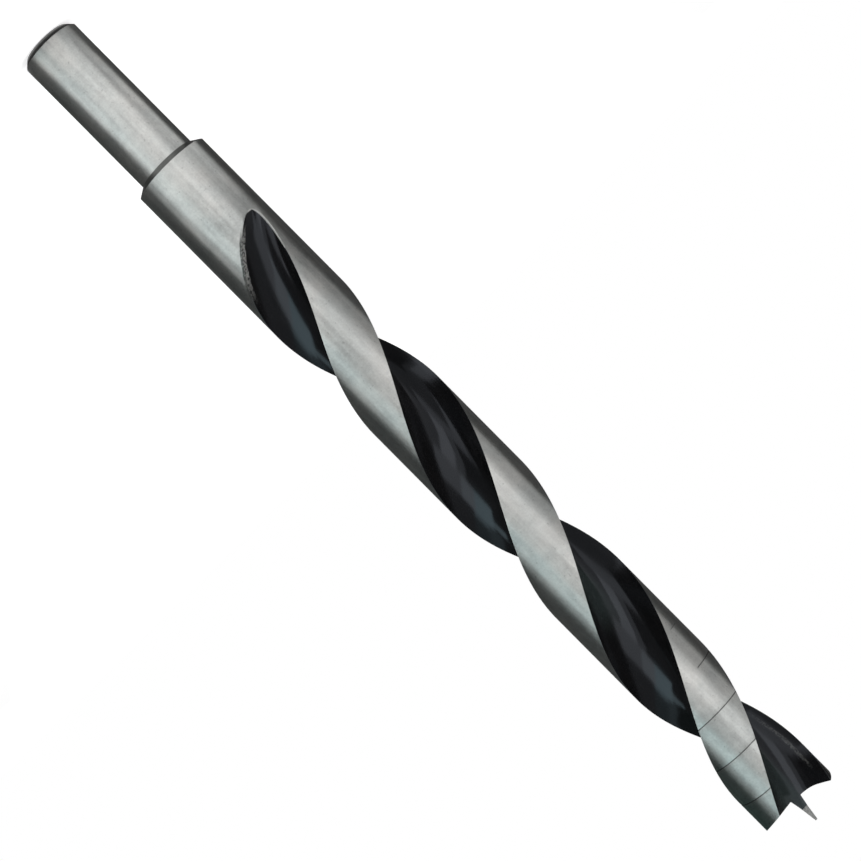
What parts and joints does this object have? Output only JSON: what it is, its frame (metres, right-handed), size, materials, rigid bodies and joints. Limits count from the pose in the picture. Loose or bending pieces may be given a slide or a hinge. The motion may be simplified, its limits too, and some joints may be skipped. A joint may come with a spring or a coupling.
{
  "type": "brad point drill bit",
  "caption": "Twist bit for boring clean flat-bottomed holes in wood, with a centre point, spurred lips, spiral flutes and a reduced round shank.",
  "frame": {"origin": "middle of the shank's flat end face", "axes": "+Z along the bit's axis from the shank to the brad point; +X through the outer corner of one spur"},
  "size_m": [0.013, 0.013, 0.1643],
  "materials": {
    "tool_steel": "satin ground high-speed steel on the shank, the body and the lands, glossy black oxide in the flutes"
  },
  "bodies": {
    "root": {"drill_bit": "tool_steel"}
  },
  "joints": []
}
